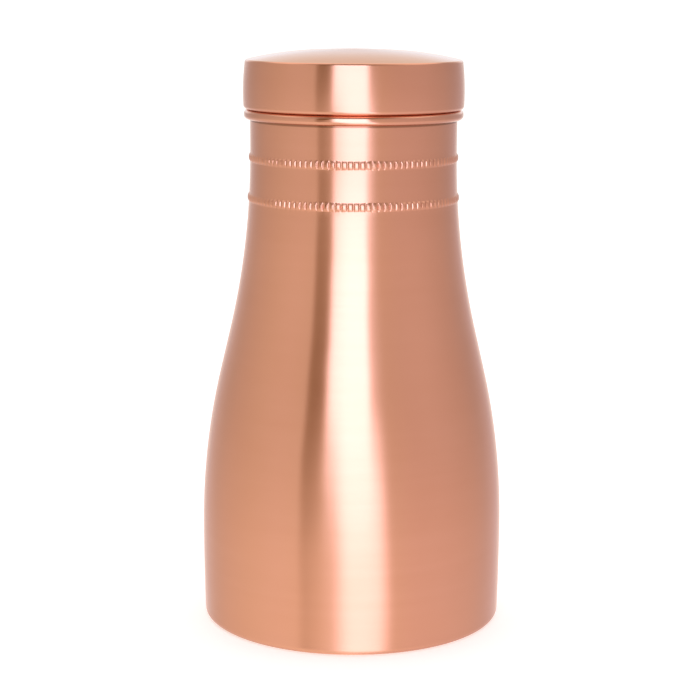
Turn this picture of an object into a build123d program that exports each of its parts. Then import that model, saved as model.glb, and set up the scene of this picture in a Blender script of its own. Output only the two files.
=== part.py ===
from build123d import *
import math
import os

# A copper bedside water bottle: a spun bottle with a wide neck, a rolled rim and two milled
# beads, a base disc set into its foot, and a domed lid that slips into the neck on an inner
# cup. Millimetres, +Z up. The origin is on the bottle's axis, in the plane it stands on.

# --- Sheet and fits ---------------------------------------------------------------------
sheet = 0.8             # copper sheet of every piece
neck_play = 0.5         # all round, between the lid's cup and the neck
base_play = 0.05        # all round, between the base disc and the foot's rounding
braze_gap = 0.05        # all round, between the lid's floor and the cup that goes through it

# --- Bottle, outside of the sheet ---------------------------------------------------------
belly_radius = 54.7     # widest, at belly_height
belly_height = 34.0
foot_tuck = 0.45        # how much narrower the wall is at the foot than at the belly
foot_corner = 2.2       # rounding between the wall and the standing face
foot_land = 3.6         # width of the flat ring that the bottle stands on
neck_radius = 36.95
neck_upright = 14.8     # from the rim's top down to where the flank starts to curve out
flank_straight = 15.7   # straight stretch between the shoulder's curve and the neck's
shoulder_share = 0.47   # of the two curves' radii together, the shoulder's part
mouth_height = 185.5    # top of the rolled rim

# --- Rolled rim ---------------------------------------------------------------------------
rim_bend = 1.1          # bend radius of the roll, at the middle of the sheet
rim_drop = 0.5          # straight stretch on the outside of the roll
rim_tuck = 20.0         # degrees that the free edge turns up again under the roll

# --- Milled beads round the neck ----------------------------------------------------------
bead_drops = (31.1, 16.9)   # from the rim's top down to the middle of each bead
bead_width = 3.4
bead_rise = 0.55
notch_count = 112
notch_depth = 0.5

# --- Base disc ----------------------------------------------------------------------------
panel_raise = 2.0       # how far the middle of the disc stands above its rim
panel_slope = 2.4       # width of the sloping step between them
panel_margin = 1.2      # flat left between the step and the foot's turned-in edge
panel_bend = 1.2        # bend of the step, on its underside

# --- Lid, outside of the sheet ------------------------------------------------------------
lid_overhang = 0.3      # how much wider the lid is than the rim, all round, at lid_widest
lid_widest = 6.0
lid_wall = 17.4         # from the seat to the corner between the wall and the dome
lid_taper = 0.75        # how much narrower that corner is than the widest
lid_heel = 0.7          # rounding at the bottom of the wall, inside the sheet
lid_corner = 0.2        # rounding of the corner between the wall and the dome, inside the sheet
dome_rise = 3.8         # middle of the dome above that corner
crown_radius = 300.0    # flat middle of the dome
crown_reach = 16.0      # radius where the crown ends and the fuller edge starts

# --- Cup under the lid --------------------------------------------------------------------
cup_depth = 40.0        # from the seat down to the cup's lip
cup_headroom = 1.9      # from the cup's closed end up to the corner of the wall and the dome
cup_corner = 3.2        # rounding of the closed end, inside the sheet
lip_round = 0.3         # rounding of both edges of the cup's lip

# --- Worked out from the above ------------------------------------------------------------
neck_start = mouth_height - neck_upright
bead_heights = [mouth_height - drop for drop in bead_drops]
lid_radius = neck_radius + 2 * rim_bend + lid_overhang
dome_height = lid_wall + dome_rise
cup_rise = lid_wall - cup_headroom
cup_radius = neck_radius - sheet - neck_play

foot_radius = belly_radius - foot_tuck
land_outer = foot_radius - foot_corner
land_inner = land_outer - foot_land
rim_start = mouth_height - sheet / 2 - rim_bend

flank_height = neck_start - belly_height
flank_width = belly_radius - neck_radius
flank_lean = 2 * math.atan(flank_width / (flank_height + flank_straight))
flank_curves = (flank_height - flank_straight * math.cos(flank_lean)) / math.sin(flank_lean)
shoulder_radius = shoulder_share * flank_curves
hollow_radius = flank_curves - shoulder_radius

wall_bow = ((lid_wall - lid_widest) ** 2 + lid_taper**2) / (2 * lid_taper)
wall_centre = Vector(lid_radius - wall_bow, mouth_height + lid_widest)
crown_centre = Vector(0, mouth_height + dome_height - crown_radius)
crown_lean = math.asin(crown_reach / crown_radius)
crown_normal = Vector(math.sin(crown_lean), math.cos(crown_lean))
crown_end = crown_centre + crown_normal * crown_radius
edge_chord = Vector(lid_radius - lid_taper, mouth_height + lid_wall) - crown_end
edge_radius = -edge_chord.dot(edge_chord) / (2 * edge_chord.dot(crown_normal))
edge_centre = crown_end - crown_normal * edge_radius


def bottle_outline(inset):
    """The bottle's side from the standing face to the neck's top, moved in by inset, and
    closed along the axis. Inset 0 is the outside of the sheet, inset sheet is the inside."""
    lean = math.degrees(flank_lean)
    floor = Line((0, inset), (land_outer, inset))
    corner = CenterArc((land_outer, foot_corner), foot_corner - inset, -90, 90)
    TangentArc((belly_radius - inset, belly_height), corner @ 1, tangent=(0, -1))
    shoulder = CenterArc(
        (belly_radius - shoulder_radius, belly_height), shoulder_radius - inset, 0, lean
    )
    hollow = CenterArc(
        (neck_radius + hollow_radius, neck_start), hollow_radius + inset, 180 + lean, -lean
    )
    Line(shoulder @ 1, hollow @ 0)
    Polyline(hollow @ 1, (neck_radius - inset, rim_start), (0, rim_start), floor @ 0)


def rim_line():
    """Middle of the sheet through the rolled rim, from the neck's top to the free edge."""
    middle = neck_radius - sheet / 2 + rim_bend
    over = CenterArc((middle, rim_start), rim_bend, 180, -180)
    Line(over @ 1, over @ 1 - Vector(0, rim_drop))
    CenterArc((middle, rim_start - rim_drop), rim_bend, 0, -90 - rim_tuck)


def hollow_radius_at(height):
    """Outside radius of the bottle in the hollow curve below the neck, or on the neck."""
    below = max(0.0, neck_start - height)
    return neck_radius + hollow_radius - math.sqrt(hollow_radius**2 - below**2)


def bead_outline(height):
    """One half-round bead on the neck, with its back buried in the neck's sheet."""
    low, high = height - bead_width / 2, height + bead_width / 2
    level = hollow_radius_at(height)
    front = ThreePointArc(
        (hollow_radius_at(low), low), (level + bead_rise, height), (hollow_radius_at(high), high)
    )
    back = level - sheet / 2
    Polyline(front @ 1, (back, high), (back, low), front @ 0)


def lid_corner_point(inset):
    """Where the wall's curve meets the dome's, both moved in by inset."""
    centres = edge_centre - wall_centre
    gap = centres.length
    wall_reach = wall_bow - inset
    along = (wall_reach**2 - (edge_radius - inset) ** 2 + gap**2) / (2 * gap)
    across = centres.normalized().rotate(Axis.Z, 90) * math.sqrt(wall_reach**2 - along**2)
    middle = wall_centre + centres.normalized() * along
    return max(middle + across, middle - across, key=lambda point: point.X)


def lid_outline(inset):
    """The lid from its seat over the wall and the dome, moved in by inset, and closed along
    the axis."""
    seat = mouth_height + inset
    drop = wall_centre.Y - seat
    heel_radius = wall_centre.X + math.sqrt((wall_bow - inset) ** 2 - drop**2)
    floor = Line((0, seat), (heel_radius, seat))
    wall = ThreePointArc(
        floor @ 1, (lid_radius - inset, wall_centre.Y), lid_corner_point(inset)
    )
    crown = CenterArc(crown_centre, crown_radius - inset, 90, -math.degrees(crown_lean))
    RadiusArc(crown @ 1, wall @ 1, edge_radius - inset)
    Line(crown @ 0, floor @ 0)


# --- Bottle -------------------------------------------------------------------------------
with BuildPart() as body_shell:
    with BuildSketch(Plane.XZ):
        with BuildLine():
            bottle_outline(0)
        make_face()
        with BuildLine():
            bottle_outline(sheet)
        make_face(mode=Mode.SUBTRACT)
        Rectangle(2 * land_inner, 2 * sheet, mode=Mode.SUBTRACT)
        with BuildLine():
            rim_line()
        trace(line_width=sheet)
        for height in bead_heights:
            with BuildLine():
                bead_outline(height)
            make_face()
    revolve(axis=Axis.Z)
    for height in bead_heights:
        with Locations((0, 0, height)):
            with PolarLocations(hollow_radius_at(height) + bead_rise, notch_count):
                Box(
                    math.sqrt(2) * notch_depth,
                    math.sqrt(2) * notch_depth,
                    bead_width,
                    rotation=(0, 0, 45),
                    mode=Mode.SUBTRACT,
                )

# --- Base disc: its rim lies on the foot's turned-in edge and its middle is pressed up --------
with BuildPart() as base_disc:
    step_outer = land_inner - panel_margin
    with BuildSketch(Plane.XZ):
        with BuildLine():
            FilletPolyline(
                (0, sheet + panel_raise),
                (step_outer - panel_slope, sheet + panel_raise),
                (step_outer, sheet),
                (land_outer - base_play, sheet),
                radius=panel_bend,
            )
            offset(amount=sheet, side=Side.LEFT)
        make_face()
    revolve(axis=Axis.Z)

# --- Lid: spun in one piece, its lower edge turned in under the wall ------------------------
with BuildPart() as lid_cap:
    for inset, mode in ((0, Mode.ADD), (sheet, Mode.SUBTRACT)):
        with BuildSketch(Plane.XZ) as lid_section:
            with BuildLine():
                lid_outline(inset)
            make_face()
            heel, corner = lid_section.vertices().sort_by(Axis.X)[-2:].sort_by(Axis.Y)
            fillet(heel, lid_heel + sheet - inset)
            fillet(lid_section.vertices().sort_by_distance(corner)[0], lid_corner + sheet - inset)
        revolve(axis=Axis.Z, mode=mode)
    with Locations((0, 0, mouth_height)):
        Cylinder(cup_radius + braze_gap, 3 * sheet, mode=Mode.SUBTRACT)

# --- Cup under the lid: upside down, through the lid's floor and down into the neck -----------
with BuildPart() as lid_cup:
    for inset, mode in ((0, Mode.ADD), (sheet, Mode.SUBTRACT)):
        with BuildSketch(Plane.XZ) as cup_section:
            with Locations((0, mouth_height - cup_depth)):
                Rectangle(
                    cup_radius - inset,
                    cup_depth + cup_rise - inset,
                    align=(Align.MIN, Align.MIN),
                )
            closed_end = cup_section.vertices().group_by(Axis.Y)[-1]
            fillet(closed_end.sort_by(Axis.X)[-1], cup_corner + sheet - inset)
        revolve(axis=Axis.Z, mode=mode)
    fillet(lid_cup.edges().group_by(Axis.Z)[0], lip_round)

os.makedirs("parts", exist_ok=True)

body_shell.part.label = "body_shell"
export_step(body_shell.part, "parts/body_shell.step")
base_disc.part.label = "base_disc"
export_step(base_disc.part, "parts/base_disc.step")
lid_cap.part.label = "lid_cap"
export_step(lid_cap.part, "parts/lid_cap.step")
lid_cup.part.label = "lid_cup"
export_step(lid_cup.part, "parts/lid_cup.step")
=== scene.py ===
import math

import bpy
import numpy as np
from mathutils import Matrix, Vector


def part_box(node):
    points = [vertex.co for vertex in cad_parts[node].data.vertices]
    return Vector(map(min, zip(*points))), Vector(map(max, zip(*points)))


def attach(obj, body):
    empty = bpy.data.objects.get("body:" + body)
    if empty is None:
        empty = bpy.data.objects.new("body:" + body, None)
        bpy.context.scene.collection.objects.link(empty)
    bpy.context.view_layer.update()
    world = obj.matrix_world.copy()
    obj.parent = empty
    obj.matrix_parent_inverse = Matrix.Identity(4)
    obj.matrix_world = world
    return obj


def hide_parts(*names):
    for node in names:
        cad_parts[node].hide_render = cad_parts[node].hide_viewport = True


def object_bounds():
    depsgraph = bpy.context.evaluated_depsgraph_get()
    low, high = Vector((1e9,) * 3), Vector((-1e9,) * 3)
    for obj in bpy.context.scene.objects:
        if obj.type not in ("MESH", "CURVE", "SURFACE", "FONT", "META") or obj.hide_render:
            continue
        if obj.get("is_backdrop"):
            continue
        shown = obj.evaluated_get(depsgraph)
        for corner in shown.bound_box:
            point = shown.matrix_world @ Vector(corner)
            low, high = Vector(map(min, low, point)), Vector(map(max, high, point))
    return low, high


# A copper bedside water bottle, standing on a plain pale floor in soft studio light.
# Metres, in the frame's own axes: +Z up, the bottle's axis at x = y = 0, its foot at z = 0.

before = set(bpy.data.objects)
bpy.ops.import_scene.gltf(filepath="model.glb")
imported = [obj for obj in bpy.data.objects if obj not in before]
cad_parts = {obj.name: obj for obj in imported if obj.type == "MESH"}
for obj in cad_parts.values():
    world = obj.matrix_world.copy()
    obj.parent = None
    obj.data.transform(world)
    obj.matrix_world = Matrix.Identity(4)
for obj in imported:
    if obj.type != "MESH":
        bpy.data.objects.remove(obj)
cad_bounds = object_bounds()

# --- Sizes the frame gives ------------------------------------------------------------------
MM = 0.001
BELLY_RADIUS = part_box("body_shell")[1].x
MOUTH_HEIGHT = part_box("body_shell")[1].z
LID_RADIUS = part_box("lid_cap")[1].x
LID_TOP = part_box("lid_cap")[1].z
CUP_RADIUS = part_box("lid_cup")[1].x
CUP_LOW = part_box("lid_cup")[0].z
CUP_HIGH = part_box("lid_cup")[1].z
DISC_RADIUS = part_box("base_disc")[1].x

# --- Sizes of the design that the boxes don't hold ------------------------------------------
SHEET = 0.8 * MM
HALF = SHEET / 2
BELLY_HEIGHT = 34.0 * MM
FOOT_TUCK = 0.45 * MM
FOOT_CORNER = 2.2 * MM
FOOT_LAND = 3.6 * MM
NECK_RADIUS = 36.95 * MM
NECK_START = 170.7 * MM
FLANK_STRAIGHT = 15.7 * MM
SHOULDER_SHARE = 0.47
RIM_BEND = 1.1 * MM
RIM_DROP = 0.5 * MM
RIM_TUCK = 20.0
BEAD_HEIGHTS = (154.4 * MM, 168.6 * MM)
BEAD_WIDTH = 3.4 * MM
BEAD_RISE = 0.52 * MM
RIDGE_COUNT = 112
RIDGE_PITCH = 2.07 * MM
GROOVE_WIDTH = 0.33 * MM
GROOVE_DEPTH = 0.9
GROOVE_UNEVEN = 0.4
PANEL_RAISE = 2.0 * MM
PANEL_SLOPE = 2.4 * MM
PANEL_MARGIN = 1.2 * MM
PANEL_BEND = 1.6 * MM
LID_WIDEST = 6.0 * MM
LID_WALL = 17.4 * MM
LID_TAPER = 0.75 * MM
LID_HEEL = 1.5 * MM
LID_CORNER = 1.0 * MM
CROWN_RADIUS = 300.0 * MM
CROWN_REACH = 16.0 * MM
BRAZE_GAP = 0.05 * MM
CUP_CORNER = 4.0 * MM

BODY_SEGMENTS = RIDGE_COUNT * 3
BEAD_SEGMENTS = RIDGE_COUNT * 12
PLAIN_SEGMENTS = 288
ON_AXIS = 1e-3 * MM         # a point nearer the axis than this is on it
SAME_POINT = 0.03 * MM      # two points nearer than this are one

# --- Finish -----------------------------------------------------------------------------------
TURN_SQUEEZE = 0.03         # noise is drawn out this much round the axis
SCRATCH_SCALE = 2600
BAND_SCALE = 420
CLOUD_SCALE = 30
WAVE_SCALE = 38
SCRATCH_HEIGHT = 0.02 * MM
SCRATCH_STRENGTH = 0.1
WAVE_HEIGHT = 0.18 * MM
RUB_EDGE = 0.6 * MM         # softness of a polished band's edges
PAINTED_SHADE_FROM = 135 * MM     # painted shade: the tone is painted darker from here up
PAINTED_SHADE_TO = 165 * MM
PAINTED_SHADE_SHARE = 0.17
# colour of the painted shade from the neck up
PAINTED_SHADE_TONE = (0.36, 0.15, 0.105, 1)
RIM_PAINTED_SHADE_BELOW = 0.65 * MM   # painted shade under the rim: from the rim's lowest point down
RIM_PAINTED_SHADE_ABOVE = 0.3 * MM
RIM_PAINTED_SHADE_EDGE = 0.2 * MM
RIM_PAINTED_SHADE_SHARE = 0.72
# colour of the painted shade under the rim
RIM_PAINTED_SHADE_TONE = (0.26, 0.10, 0.05, 1)

# --- Studio -----------------------------------------------------------------------------------
FLOOR_RADIUS = 1.3
BACKDROP_RADIUS = 1.29
STAGE_SEGMENTS = 96
STRIP_DISTANCE = 0.40       # in front of the bottle's axis
STRIP_HALF_WIDTH = 0.36
STRIP_LOW = -0.45
STRIP_HIGH = 0.50
CAMERA_PLACE = (-0.00155, -0.690, 0.229)
CAMERA_DIP = 10.75          # degrees below level
CAMERA_ROLL = -0.28         # degrees
CAMERA_LENS = 98.96
CAMERA_SENSOR = 36.0


# --- Profiles: each point is (radius, height, and the outward normal's two parts) -------------
def arc(centre, radius, start, end, count):
    """Round run about a centre, from one angle to the other, in degrees."""
    side = 1 if end > start else -1
    run = []
    for angle in np.radians(np.linspace(start, end, count + 1)):
        c, s = math.cos(angle), math.sin(angle)
        run.append((centre[0] + radius * c, centre[1] + radius * s, side * c, side * s))
    return run


def line(start, end, count):
    """Straight run, closer together towards its ends, where it meets a bend."""
    span = np.subtract(end, start)
    normal = (span[1], -span[0]) / np.linalg.norm(span)
    shares = (1 - np.cos(np.linspace(0, math.pi, count + 1))) / 2
    return [(*(np.array(start) + span * share), *normal) for share in shares]


def joined(*runs):
    """One run from several, without the doubled points where they meet."""
    points = []
    for point in (point for run in runs for point in run):
        if not points or math.dist(point[:2], points[-1][:2]) > SAME_POINT:
            points.append(point)
    return points


def angle_of(centre, point):
    """Direction from a centre to a point, in degrees."""
    return math.degrees(math.atan2(point[1] - centre[1], point[0] - centre[0]))


def outer_meeting(centre_a, radius_a, centre_b, radius_b):
    """Where two circles cross, on the side away from the axis."""
    a, b = np.array(centre_a), np.array(centre_b)
    gap = np.linalg.norm(b - a)
    along = (radius_a**2 - radius_b**2 + gap**2) / (2 * gap)
    across = math.sqrt(radius_a**2 - along**2)
    unit = (b - a) / gap
    turned = np.array((unit[1], -unit[0])) * across
    return max((a + unit * along + side * turned for side in (1, -1)), key=lambda p: p[0])


def moved(run, distance):
    """The run moved out along its normals, or in if the distance is negative."""
    side = 1 if distance >= 0 else -1
    return [
        (r + distance * nr, z + distance * nz, side * nr, side * nz) for r, z, nr, nz in run
    ]


def edge_cap(point, ahead, count=4):
    """Half-round sheet edge at the end of a run, from its outside round to its inside."""
    r, z, nr, nz = point
    run = []
    for angle in np.linspace(0, math.pi, count + 1)[1:-1]:
        c, s = math.cos(angle), math.sin(angle)
        cap = (nr * c - nz * s * ahead, nz * c + nr * s * ahead)
        run.append((r + HALF * cap[0], z + HALF * cap[1], *cap))
    return run


# --- Meshes -----------------------------------------------------------------------------------
def ring_faces(low, high):
    """Faces between two rings of points, of which one may have several to the other's one."""
    count = min(len(low), len(high))
    steps_low, steps_high = len(low) // count, len(high) // count
    for j in range(count):
        lower = [low[(j * steps_low + i) % len(low)] for i in range(steps_low + 1)]
        upper = [high[(j * steps_high + i) % len(high)] for i in range(steps_high + 1)]
        yield tuple(dict.fromkeys(lower + upper[::-1]))


def lathe(name, loop, segments, closed, relief=None):
    """A surface of revolution through the loop's points. relief(radius, height) says how many
    points a ring has, how far each is raised, and how steeply with height and with turn."""
    vertices, normals, rings = [], [], []
    for r, z, nr, nz in loop:
        if r < ON_AXIS:
            rings.append([len(vertices)] * segments)
            vertices.append((0, 0, z))
            normals.append((0, 0, math.copysign(1, nz)))
            continue
        count, rise, by_height, by_turn = relief(r, z) if relief else (segments, 0, 0, 0)
        turns = np.linspace(0, 2 * math.pi, count, endpoint=False)
        cos, sin = np.cos(turns), np.sin(turns)
        ring = ((r + rise) * cos, (r + rise) * sin, np.full(count, z))
        lean = (nr * cos + by_turn * sin, nr * sin - by_turn * cos, nz - by_height + 0 * turns)
        lean /= np.linalg.norm(lean, axis=0)
        rings.append(list(range(len(vertices), len(vertices) + count)))
        vertices.extend(np.transpose(ring).tolist())
        normals.extend(np.transpose(lean).tolist())
    pairs = list(zip(rings, rings[1:])) + ([(rings[-1], rings[0])] if closed else [])
    faces = [face for low, high in pairs for face in ring_faces(low, high)]
    mesh = bpy.data.meshes.new(name)
    mesh.from_pydata(vertices, [], faces)
    mesh.shade_smooth()
    mesh.normals_split_custom_set_from_vertices(normals)
    piece = bpy.data.objects.new(name, mesh)
    bpy.context.scene.collection.objects.link(piece)
    return piece


# --- Bottle -----------------------------------------------------------------------------------
foot_radius = BELLY_RADIUS - FOOT_TUCK
land_outer = foot_radius - FOOT_CORNER
land_inner = land_outer - FOOT_LAND
rim_start = MOUTH_HEIGHT - HALF - RIM_BEND
rim_low = rim_start - RIM_DROP - RIM_BEND - HALF
flank_height = NECK_START - BELLY_HEIGHT
flank_lean = 2 * math.atan((BELLY_RADIUS - NECK_RADIUS) / (flank_height + FLANK_STRAIGHT))
flank_curves = (flank_height - FLANK_STRAIGHT * math.cos(flank_lean)) / math.sin(flank_lean)
shoulder_radius = SHOULDER_SHARE * flank_curves
hollow_radius = flank_curves - shoulder_radius


def hollow_point(height):
    """Middle of the sheet in the hollow below the neck, or on the neck."""
    reach = hollow_radius + HALF
    angle = math.asin(max(0.0, NECK_START - height) / reach)
    r = NECK_RADIUS + hollow_radius - reach * math.cos(angle)
    return r, height, math.cos(angle), math.sin(angle)


def bottle_middle(bead_rows, plain_rows):
    """Middle of the bottle's sheet, from the turned-in foot to the rolled rim's free edge."""
    lean = math.degrees(flank_lean)
    belly_bow = ((BELLY_HEIGHT - FOOT_CORNER) ** 2 + FOOT_TUCK**2) / (2 * FOOT_TUCK)
    belly_drop = math.degrees(math.asin((BELLY_HEIGHT - FOOT_CORNER) / belly_bow))
    shoulder_centre = (BELLY_RADIUS - shoulder_radius, BELLY_HEIGHT)
    shoulder = arc(shoulder_centre, shoulder_radius - HALF, 0, lean, 14)
    hollow_start = NECK_START - (hollow_radius + HALF) * math.sin(flank_lean)
    heights = {*np.linspace(hollow_start, rim_start, plain_rows)}
    for bead in BEAD_HEIGHTS:
        heights -= {z for z in heights if abs(z - bead) < BEAD_WIDTH * 0.6}
        heights |= {*np.linspace(bead - BEAD_WIDTH / 2, bead + BEAD_WIDTH / 2, bead_rows)}
    upper = [hollow_point(z) for z in sorted(heights)]
    roll_centre = (NECK_RADIUS - HALF + RIM_BEND, rim_start)
    tuck_centre = (roll_centre[0], rim_start - RIM_DROP)
    return joined(
        line((land_inner + HALF, HALF), (land_outer, HALF), 3),
        arc((land_outer, FOOT_CORNER), FOOT_CORNER - HALF, -90, 0, 7),
        arc((BELLY_RADIUS - belly_bow, BELLY_HEIGHT), belly_bow - HALF, -belly_drop, 0, 6),
        shoulder,
        line(shoulder[-1][:2], upper[0][:2], 3),
        upper,
        arc(roll_centre, RIM_BEND, 180, 0, 14),
        arc(tuck_centre, RIM_BEND, 0, -90 - RIM_TUCK, 9),
    )


def bead_rise(height, turns):
    """How far the milled beads stand out here. Narrow grooves of uneven depth part the ribs."""
    across = turns * RIDGE_COUNT / (2 * math.pi)
    rib = np.round(across)
    groove = np.exp(-((((across - rib) * RIDGE_PITCH) / GROOVE_WIDTH) ** 2))
    total = 0
    for bead in BEAD_HEIGHTS:
        share = min(1.0, abs(height - bead) / (BEAD_WIDTH / 2))
        uneven = (np.sin((rib % RIDGE_COUNT) * 12.9898 + bead * 1000) * 437.585) % 1
        depth = GROOVE_DEPTH - GROOVE_UNEVEN * uneven
        profile = math.cos(share**1.7 * math.pi / 2) ** 2
        total = total + BEAD_RISE * profile * (1 - depth * groove)
    return total


def bead_relief(radius, height):
    """Points round the bottle at this height, how far each is raised, and how steeply."""
    near = min(abs(height - bead) for bead in BEAD_HEIGHTS) < 0.51 * BEAD_WIDTH
    if not near or radius < hollow_point(height)[0]:
        return BODY_SEGMENTS, 0, 0, 0
    step, small = 0.02 * MM, 1e-4
    turns = np.linspace(0, 2 * math.pi, BEAD_SEGMENTS, endpoint=False)
    by_height = (bead_rise(height + step, turns) - bead_rise(height - step, turns)) / (2 * step)
    by_turn = bead_rise(height, turns + small) - bead_rise(height, turns - small)
    by_turn /= 2 * small * radius
    return BEAD_SEGMENTS, bead_rise(height, turns), by_height, by_turn


def make_bottle():
    outside = moved(bottle_middle(13, 22), HALF)
    inside = moved(bottle_middle(2, 14), -HALF)[::-1]
    middle = bottle_middle(2, 2)
    loop = outside + edge_cap(middle[-1], 1) + inside + edge_cap(middle[0], -1)[::-1]
    return lathe("bottle", loop, BODY_SEGMENTS, True, bead_relief)


# --- Base disc --------------------------------------------------------------------------------
def make_base():
    outer = land_inner - PANEL_MARGIN
    inner = outer - PANEL_SLOPE
    low, high = SHEET + HALF, SHEET + HALF + PANEL_RAISE
    slope = math.atan2(PANEL_RAISE, PANEL_SLOPE)
    reach = PANEL_BEND * math.tan(slope / 2)
    lean = math.degrees(slope)
    inner_bend = arc((inner - reach, high - PANEL_BEND), PANEL_BEND, 90, 90 - lean, 6)
    outer_bend = arc((outer + reach, low + PANEL_BEND), PANEL_BEND, 270 - lean, 270, 6)
    middle = joined(
        line((0, high), inner_bend[0][:2], 8),
        inner_bend,
        line(inner_bend[-1][:2], outer_bend[0][:2], 2),
        outer_bend,
        line(outer_bend[-1][:2], (DISC_RADIUS - HALF, low), 3),
    )
    loop = moved(middle, HALF) + edge_cap(middle[-1], 1) + moved(middle, -HALF)[::-1]
    return lathe("foot_disc", loop, PLAIN_SEGMENTS, False)


# --- Lid and cup ------------------------------------------------------------------------------
def make_lid():
    seat = MOUTH_HEIGHT
    corner = np.array((LID_RADIUS - LID_TAPER, seat + LID_WALL))
    bow = ((LID_WALL - LID_WIDEST) ** 2 + LID_TAPER**2) / (2 * LID_TAPER)
    bow_centre = (LID_RADIUS - bow, seat + LID_WIDEST)
    crown_centre = (0.0, LID_TOP - CROWN_RADIUS)
    reach = math.asin(CROWN_REACH / CROWN_RADIUS)
    crown_normal = np.array((math.sin(reach), math.cos(reach)))
    crown_end = np.array(crown_centre) + CROWN_RADIUS * crown_normal
    across = corner - crown_end
    edge_bow = -across.dot(across) / (2 * across.dot(crown_normal))
    edge_centre = crown_end - edge_bow * crown_normal
    rounding = outer_meeting(bow_centre, bow - LID_CORNER, edge_centre, edge_bow - LID_CORNER)
    heel_z = seat + LID_HEEL
    heel_r = bow_centre[0] + math.sqrt((bow - LID_HEEL) ** 2 - (heel_z - bow_centre[1]) ** 2)
    heel = (heel_r, heel_z)
    wall_from, wall_to = angle_of(bow_centre, heel), angle_of(bow_centre, rounding)
    edge_from = angle_of(edge_centre, rounding)
    crown_from = 90 - math.degrees(reach)
    middle = joined(
        line((CUP_RADIUS + BRAZE_GAP + HALF, seat + HALF), (heel_r, seat + HALF), 3),
        arc(heel, LID_HEEL - HALF, -90, wall_from, 8),
        arc(bow_centre, bow - HALF, wall_from, wall_to, 10),
        arc(rounding, LID_CORNER - HALF, wall_to, edge_from, 7),
        arc(edge_centre, edge_bow - HALF, edge_from, crown_from, 12),
        arc(crown_centre, CROWN_RADIUS - HALF, crown_from, 90, 8),
    )
    loop = moved(middle, -HALF)[::-1] + edge_cap(middle[0], -1)[::-1] + moved(middle, HALF)
    return lathe("lid", loop, PLAIN_SEGMENTS, False)


def make_cup():
    side = CUP_RADIUS - HALF
    corner = (CUP_RADIUS - CUP_CORNER, CUP_HIGH - CUP_CORNER)
    middle = joined(
        line((side, CUP_LOW + HALF), (side, corner[1]), 8),
        arc(corner, CUP_CORNER - HALF, 0, 90, 8),
        line((corner[0], CUP_HIGH - HALF), (0, CUP_HIGH - HALF), 8),
    )
    loop = moved(middle, -HALF)[::-1] + edge_cap(middle[0], -1)[::-1] + moved(middle, HALF)
    return lathe("cup", loop, PLAIN_SEGMENTS, False)


# --- Node helpers -----------------------------------------------------------------------------
class Nodes:
    """Short calls that add nodes to one tree and wire them up."""

    def __init__(self, tree):
        self.nodes, self.links = tree.nodes, tree.links

    def plug(self, socket, value):
        if isinstance(value, bpy.types.NodeSocket):
            self.links.new(value, socket)
        else:
            socket.default_value = value

    def maths(self, operation, first, second=0.0):
        node = self.nodes.new("ShaderNodeMath")
        node.operation = operation
        self.plug(node.inputs[0], first)
        self.plug(node.inputs[1], second)
        return node.outputs[0]

    def spread(self, value, low, high, low_to=0.0, high_to=1.0, ease="LINEAR"):
        """Maps low..high to low_to..high_to, and holds the ends."""
        node = self.nodes.new("ShaderNodeMapRange")
        node.interpolation_type = ease
        for socket, number in zip(node.inputs[:5], (value, low, high, low_to, high_to)):
            self.plug(socket, number)
        return node.outputs[0]

    def window(self, value, low, high, soft):
        """1 between low and high, 0 outside, soft across each edge."""
        over = self.maths("DIVIDE", self.maths("SUBTRACT", value, low), soft)
        under = self.maths("DIVIDE", self.maths("SUBTRACT", high, value), soft)
        over, under = (self.spread(share, -1, 1, ease="SMOOTHSTEP") for share in (over, under))
        return self.maths("MULTIPLY", over, under)

    def noise(self, vector, scale, detail=2.0):
        node = self.nodes.new("ShaderNodeTexNoise")
        node.inputs["Scale"].default_value = scale
        node.inputs["Detail"].default_value = detail
        self.links.new(vector, node.inputs["Vector"])
        return node.outputs["Fac"]

    def place(self, output):
        """The coordinates, whole and in their three parts."""
        whole = self.nodes.new("ShaderNodeTexCoord").outputs[output]
        parts = self.nodes.new("ShaderNodeSeparateXYZ")
        self.links.new(whole, parts.inputs[0])
        return whole, parts.outputs

    def vector(self, x, y, z):
        node = self.nodes.new("ShaderNodeCombineXYZ")
        for socket, value in zip(node.inputs, (x, y, z)):
            self.plug(socket, value)
        return node.outputs[0]

    def bearing(self, x, y):
        """Degrees about +Z from the front, positive to the right."""
        turn = self.maths("ARCTAN2", x, self.maths("MULTIPLY", y, -1.0))
        return self.maths("MULTIPLY", turn, 180 / math.pi)

    def blend(self, share, first, second):
        node = self.nodes.new("ShaderNodeMix")
        node.data_type = "RGBA"
        self.plug(node.inputs["Factor"], share)
        self.plug(node.inputs["A"], first)
        self.plug(node.inputs["B"], second)
        return node.outputs["Result"]


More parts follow.
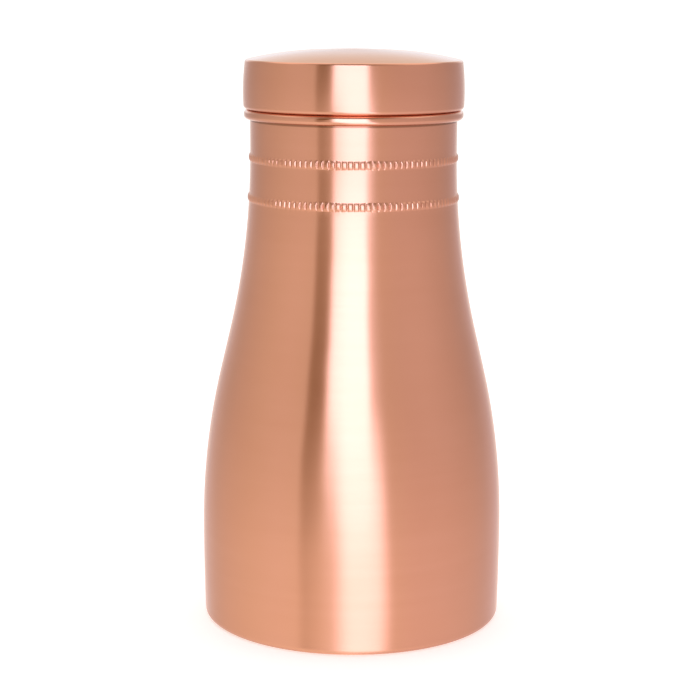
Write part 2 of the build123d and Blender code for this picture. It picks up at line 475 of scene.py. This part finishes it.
# --- Materials --------------------------------------------------------------------------------
def copper(name, light, dark, rough, streak, polished=()):
    """Satin copper, finished on a lathe: the scratches run round the axis, so it is smoother
    along them than across them. light and dark are the metal's two tones, and its roughness
    goes from rough - streak to rough + streak. polished gives bands of height that tools or
    fingers have rubbed smoother, each with the share of the roughness that is left. Painted
    shade makes the tone a little darker from the neck up, and a band of painted shade lies in
    the corner between the neck and the rim, under the rim."""
    material = bpy.data.materials.new(name)
    material.use_nodes = True
    shader = material.node_tree.nodes["Principled BSDF"]
    shader.inputs["Metallic"].default_value = 1.0
    shader.inputs["Anisotropic"].default_value = 1.0
    shader.inputs["Anisotropic Rotation"].default_value = 0.25
    n = Nodes(material.node_tree)
    whole, (x, y, z) = n.place("Object")
    squares = n.maths("ADD", n.maths("MULTIPLY", x, x), n.maths("MULTIPLY", y, y))
    radius = n.maths("SQRT", squares)
    turned = n.vector(
        n.maths("MULTIPLY", x, TURN_SQUEEZE),
        n.maths("MULTIPLY", y, TURN_SQUEEZE),
        n.maths("ADD", radius, z),
    )
    scratches = n.noise(turned, SCRATCH_SCALE, 4)
    bands = n.noise(turned, BAND_SCALE, 3)
    clouds = n.noise(whole, CLOUD_SCALE, 3)

    tone = n.maths("ADD", n.maths("MULTIPLY", bands, 0.3), n.maths("MULTIPLY", clouds, 0.7))
    colour = n.blend(n.spread(tone, 0.3, 0.7), (*dark, 1), (*light, 1))
    # Painted shade: the tone is blended darker from the neck up, where the reflections are
    # dimmer.
    upper_painted_shade = n.spread(z, PAINTED_SHADE_FROM, PAINTED_SHADE_TO, 0, PAINTED_SHADE_SHARE)
    colour = n.blend(upper_painted_shade, colour, PAINTED_SHADE_TONE)
    # Painted shade: a dark band on the neck just under the rim, where the rim shades it.
    rim_painted_shade = n.window(z, rim_low - RIM_PAINTED_SHADE_BELOW, rim_low + RIM_PAINTED_SHADE_ABOVE, RIM_PAINTED_SHADE_EDGE)
    outside = n.spread(radius, NECK_RADIUS - HALF, NECK_RADIUS - HALF / 2, 0, RIM_PAINTED_SHADE_SHARE)
    rim_painted_shade = n.maths("MULTIPLY", rim_painted_shade, outside)
    n.plug(shader.inputs["Base Color"], n.blend(rim_painted_shade, colour, RIM_PAINTED_SHADE_TONE))

    grain = n.maths("MULTIPLY", n.maths("ADD", scratches, clouds), 0.5)
    roughness = n.spread(grain, 0.3, 0.7, rough - streak, rough + streak)
    for low, high, share in polished:
        rubbed = n.window(z, low, high, RUB_EDGE)
        roughness = n.maths("MULTIPLY", roughness, n.spread(rubbed, 0, 1, 1, share))
    n.plug(shader.inputs["Roughness"], roughness)

    waves = n.nodes.new("ShaderNodeBump")
    waves.inputs["Distance"].default_value = WAVE_HEIGHT
    n.plug(waves.inputs["Height"], n.noise(whole, WAVE_SCALE, 1))
    bump = n.nodes.new("ShaderNodeBump")
    bump.inputs["Strength"].default_value = SCRATCH_STRENGTH
    bump.inputs["Distance"].default_value = SCRATCH_HEIGHT
    n.plug(bump.inputs["Height"], scratches)
    n.plug(bump.inputs["Normal"], waves.outputs[0])
    n.plug(shader.inputs["Normal"], bump.outputs[0])
    tangent = n.nodes.new("ShaderNodeTangent")
    tangent.direction_type = "RADIAL"
    tangent.axis = "Z"
    n.plug(shader.inputs["Tangent"], tangent.outputs[0])
    return material


def dress(piece, body, node, material):
    """Gives a piece its material, the body it rides on and the node that it replaces."""
    piece.data.materials.append(material)
    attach(piece, body)
    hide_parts(node)


rim_band = (MOUTH_HEIGHT - 4 * MM, MOUTH_HEIGHT + 1.2 * MM, 0.6)
dome_band = (LID_TOP - 4.2 * MM, LID_TOP + 5 * MM, 0.5)
satin = copper(
    "satin_copper",
    light=(0.82, 0.385, 0.245),
    dark=(0.79, 0.36, 0.22),
    rough=0.25,
    streak=0.015,
    polished=[rim_band, dome_band],
)
plain = copper(
    "base_copper", light=(0.80, 0.375, 0.24), dark=(0.75, 0.34, 0.212), rough=0.36, streak=0.03
)
dress(make_bottle(), "bottle", "body_shell", satin)
dress(make_base(), "bottle", "base_disc", plain)
dress(make_lid(), "lid", "lid_cap", satin)
dress(make_cup(), "lid", "lid_cup", plain)


# --- Studio -----------------------------------------------------------------------------------
def make_world():
    """A light tent. Bearings are in degrees about +Z from the front, positive to the right, and
    z is the height of a direction, 1 straight up. Pale walls go all round, with a dark gap in
    front, left of the strip light, and a brighter wall behind. Below the horizon is the paler
    table, and overhead a bright ceiling that is dark above the camera."""
    walls = (
        (-180, 1.00, 0.95, 0.90), (-168, 0.85, 0.81, 0.77), (-152, 0.58, 0.56, 0.58),
        (-128, 0.55, 0.53, 0.52), (-112, 0.61, 0.59, 0.57), (-85, 0.67, 0.655, 0.62),
        (-60, 0.72, 0.70, 0.69), (-44, 0.73, 0.715, 0.69), (30, 0.70, 0.665, 0.65),
        (50, 0.66, 0.615, 0.64), (80, 0.62, 0.58, 0.61), (107, 0.57, 0.54, 0.56),
        (125, 0.52, 0.50, 0.53), (150, 0.56, 0.53, 0.57), (168, 0.85, 0.81, 0.77),
        (180, 1.00, 0.95, 0.90),
    )
    world = bpy.data.worlds.new("light_tent")
    bpy.context.scene.world = world
    world.use_nodes = True
    n = Nodes(world.node_tree)
    _, (x, y, z) = n.place("Generated")
    bearing = n.bearing(x, y)
    ramp = n.nodes.new("ShaderNodeValToRGB")
    stops = ramp.color_ramp.elements
    while len(stops) < len(walls):
        stops.new(0.5)
    for stop, (angle, *colour) in zip(stops, walls):
        stop.position = angle / 360 + 0.5
        stop.color = (*colour, 1)
    n.plug(ramp.inputs[0], n.spread(bearing, -180, 180))

    gap_right = n.spread(z, -0.15, 0.05, -33, -25)
    gap = n.window(bearing, -39.5, gap_right, 2.5)
    gap = n.maths("MULTIPLY", gap, n.spread(z, -0.2, -0.03, 0.1, 1))
    shaded = n.blend(gap, ramp.outputs[0], (0.25, 0.18, 0.10, 1))

    behind = n.maths("SUBTRACT", 1.0, n.window(bearing, -150, 150, 12))
    behind = n.maths("MULTIPLY", behind, n.spread(z, 0.03, 0.10))
    backlight = n.blend(n.spread(z, 0.15, 0.42), (1.0, 1.08, 1.16, 1), (0.84, 0.86, 0.78, 1))
    shaded = n.blend(behind, shaded, backlight)

    level = n.maths("ADD", n.spread(z, -0.35, 0, 0.58, 0), n.spread(z, 0, 0.2, 0.98, 1.1))
    around = n.nodes.new("ShaderNodeVectorMath")
    around.operation = "SCALE"
    n.plug(around.inputs[0], shaded)
    n.plug(around.inputs["Scale"], level)

    overhead = n.spread(z, 0.5, 0.7, ease="SMOOTHSTEP")
    in_front = n.window(bearing, -70, 70, 25)
    ceiling = n.blend(in_front, (1.3, 1.3, 1.3, 1), (0.40, 0.37, 0.34, 1))
    light = n.blend(overhead, around.outputs[0], ceiling)
    n.plug(world.node_tree.nodes["Background"].inputs["Color"], light)


def stage_piece(name, vertices, faces, material):
    mesh = bpy.data.meshes.new(name)
    mesh.from_pydata(vertices, [], faces)
    mesh.materials.append(material)
    piece = bpy.data.objects.new(name, mesh)
    bpy.context.scene.collection.objects.link(piece)
    piece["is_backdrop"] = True
    return piece


def make_strip():
    """Tall soft strip light in front, which only reflections see. Its lower end reaches below
    the table, lies further to the right, and is softer and weaker."""
    material = bpy.data.materials.new("strip_light")
    material.use_nodes = True
    n = Nodes(material.node_tree)
    n.nodes.remove(n.nodes["Principled BSDF"])
    _, (x, _, z) = n.place("Object")
    left = n.spread(z, 0.04, 0.15, n.spread(z, -0.14, 0.04, -0.052, -0.062), -0.150)
    right = n.spread(z, 0.06, 0.16, n.spread(z, -0.14, 0.06, 0.198, 0.162), 0.100)
    soft = n.spread(z, -0.15, 0.1, 0.075, 0.025)
    ends = n.window(z, STRIP_LOW + 0.08, STRIP_HIGH - 0.06, 0.05)
    share = n.maths("MULTIPLY", n.window(x, left, right, soft), ends)
    light = n.nodes.new("ShaderNodeEmission")
    level = n.blend(n.spread(z, -0.12, 0.20), (2.0, 2.12, 2.65, 1), (2.8, 3.3, 4.6, 1))
    n.plug(light.inputs["Color"], level)
    clear = n.nodes.new("ShaderNodeBsdfTransparent")
    mix = n.nodes.new("ShaderNodeMixShader")
    n.plug(mix.inputs[0], share)
    n.plug(mix.inputs[1], clear.outputs[0])
    n.plug(mix.inputs[2], light.outputs[0])
    n.plug(n.nodes["Material Output"].inputs["Surface"], mix.outputs[0])
    corners = [
        (-STRIP_HALF_WIDTH, -STRIP_DISTANCE, STRIP_LOW),
        (STRIP_HALF_WIDTH, -STRIP_DISTANCE, STRIP_LOW),
        (STRIP_HALF_WIDTH, -STRIP_DISTANCE, STRIP_HIGH),
        (-STRIP_HALF_WIDTH, -STRIP_DISTANCE, STRIP_HIGH),
    ]
    strip = stage_piece("strip", corners, [range(4)], material)
    strip.visible_camera = False
    strip.visible_diffuse = False
    strip.visible_shadow = False


def make_floor():
    """Plain white floor, which takes the bottle's soft shadow and isn't seen in the bottle."""
    material = bpy.data.materials.new("floor_white")
    material.use_nodes = True
    shader = material.node_tree.nodes["Principled BSDF"]
    shader.inputs["Base Color"].default_value = (0.9, 0.9, 0.9, 1)
    shader.inputs["Roughness"].default_value = 0.9
    shader.inputs["Emission Color"].default_value = (1, 1, 1, 1)
    shader.inputs["Emission Strength"].default_value = 0.45
    turns = np.linspace(0, 2 * math.pi, STAGE_SEGMENTS, endpoint=False)
    corners = [(FLOOR_RADIUS * math.cos(t), FLOOR_RADIUS * math.sin(t), 0) for t in turns]
    floor = stage_piece("floor", corners, [range(STAGE_SEGMENTS)], material)
    floor.visible_glossy = False


def make_backdrop():
    """White all round, seen behind the bottle but not in it."""
    material = bpy.data.materials.new("backdrop_white")
    material.use_nodes = True
    shader = material.node_tree.nodes["Principled BSDF"]
    shader.inputs["Base Color"].default_value = (0, 0, 0, 1)
    shader.inputs["Emission Color"].default_value = (1, 1, 1, 1)
    shader.inputs["Emission Strength"].default_value = 1.1
    elevations = np.radians(np.arange(-2, 91, 4))
    turns = np.linspace(0, 2 * math.pi, STAGE_SEGMENTS, endpoint=False)
    dome = [(BACKDROP_RADIUS * math.cos(e), BACKDROP_RADIUS * math.sin(e)) for e in elevations]
    vertices = [(r * math.cos(t), r * math.sin(t), z) for r, z in dome for t in turns]
    rings = [range(STAGE_SEGMENTS * i, STAGE_SEGMENTS * (i + 1)) for i in range(len(dome))]
    faces = [face for low, high in zip(rings, rings[1:]) for face in ring_faces(low, high)]
    backdrop = stage_piece("backdrop", vertices, faces, material)
    backdrop.visible_glossy = False
    backdrop.visible_diffuse = False
    backdrop.visible_shadow = False


def make_camera():
    """Level with the bottle's neck, looking a little down on it."""
    data = bpy.data.cameras.new("camera")
    data.lens = CAMERA_LENS
    data.sensor_width = CAMERA_SENSOR
    camera = bpy.data.objects.new("camera", data)
    bpy.context.scene.collection.objects.link(camera)
    camera.location = CAMERA_PLACE
    camera.rotation_euler = (math.radians(90 - CAMERA_DIP), math.radians(CAMERA_ROLL), 0)
    bpy.context.scene.camera = camera


make_world()
make_strip()
make_floor()
make_backdrop()
make_camera()
bpy.context.scene.view_settings.view_transform = "Standard"

boxes = {"cad": cad_bounds, "visual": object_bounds()}
{name: [list(corner) for corner in box] for name, box in boxes.items()}
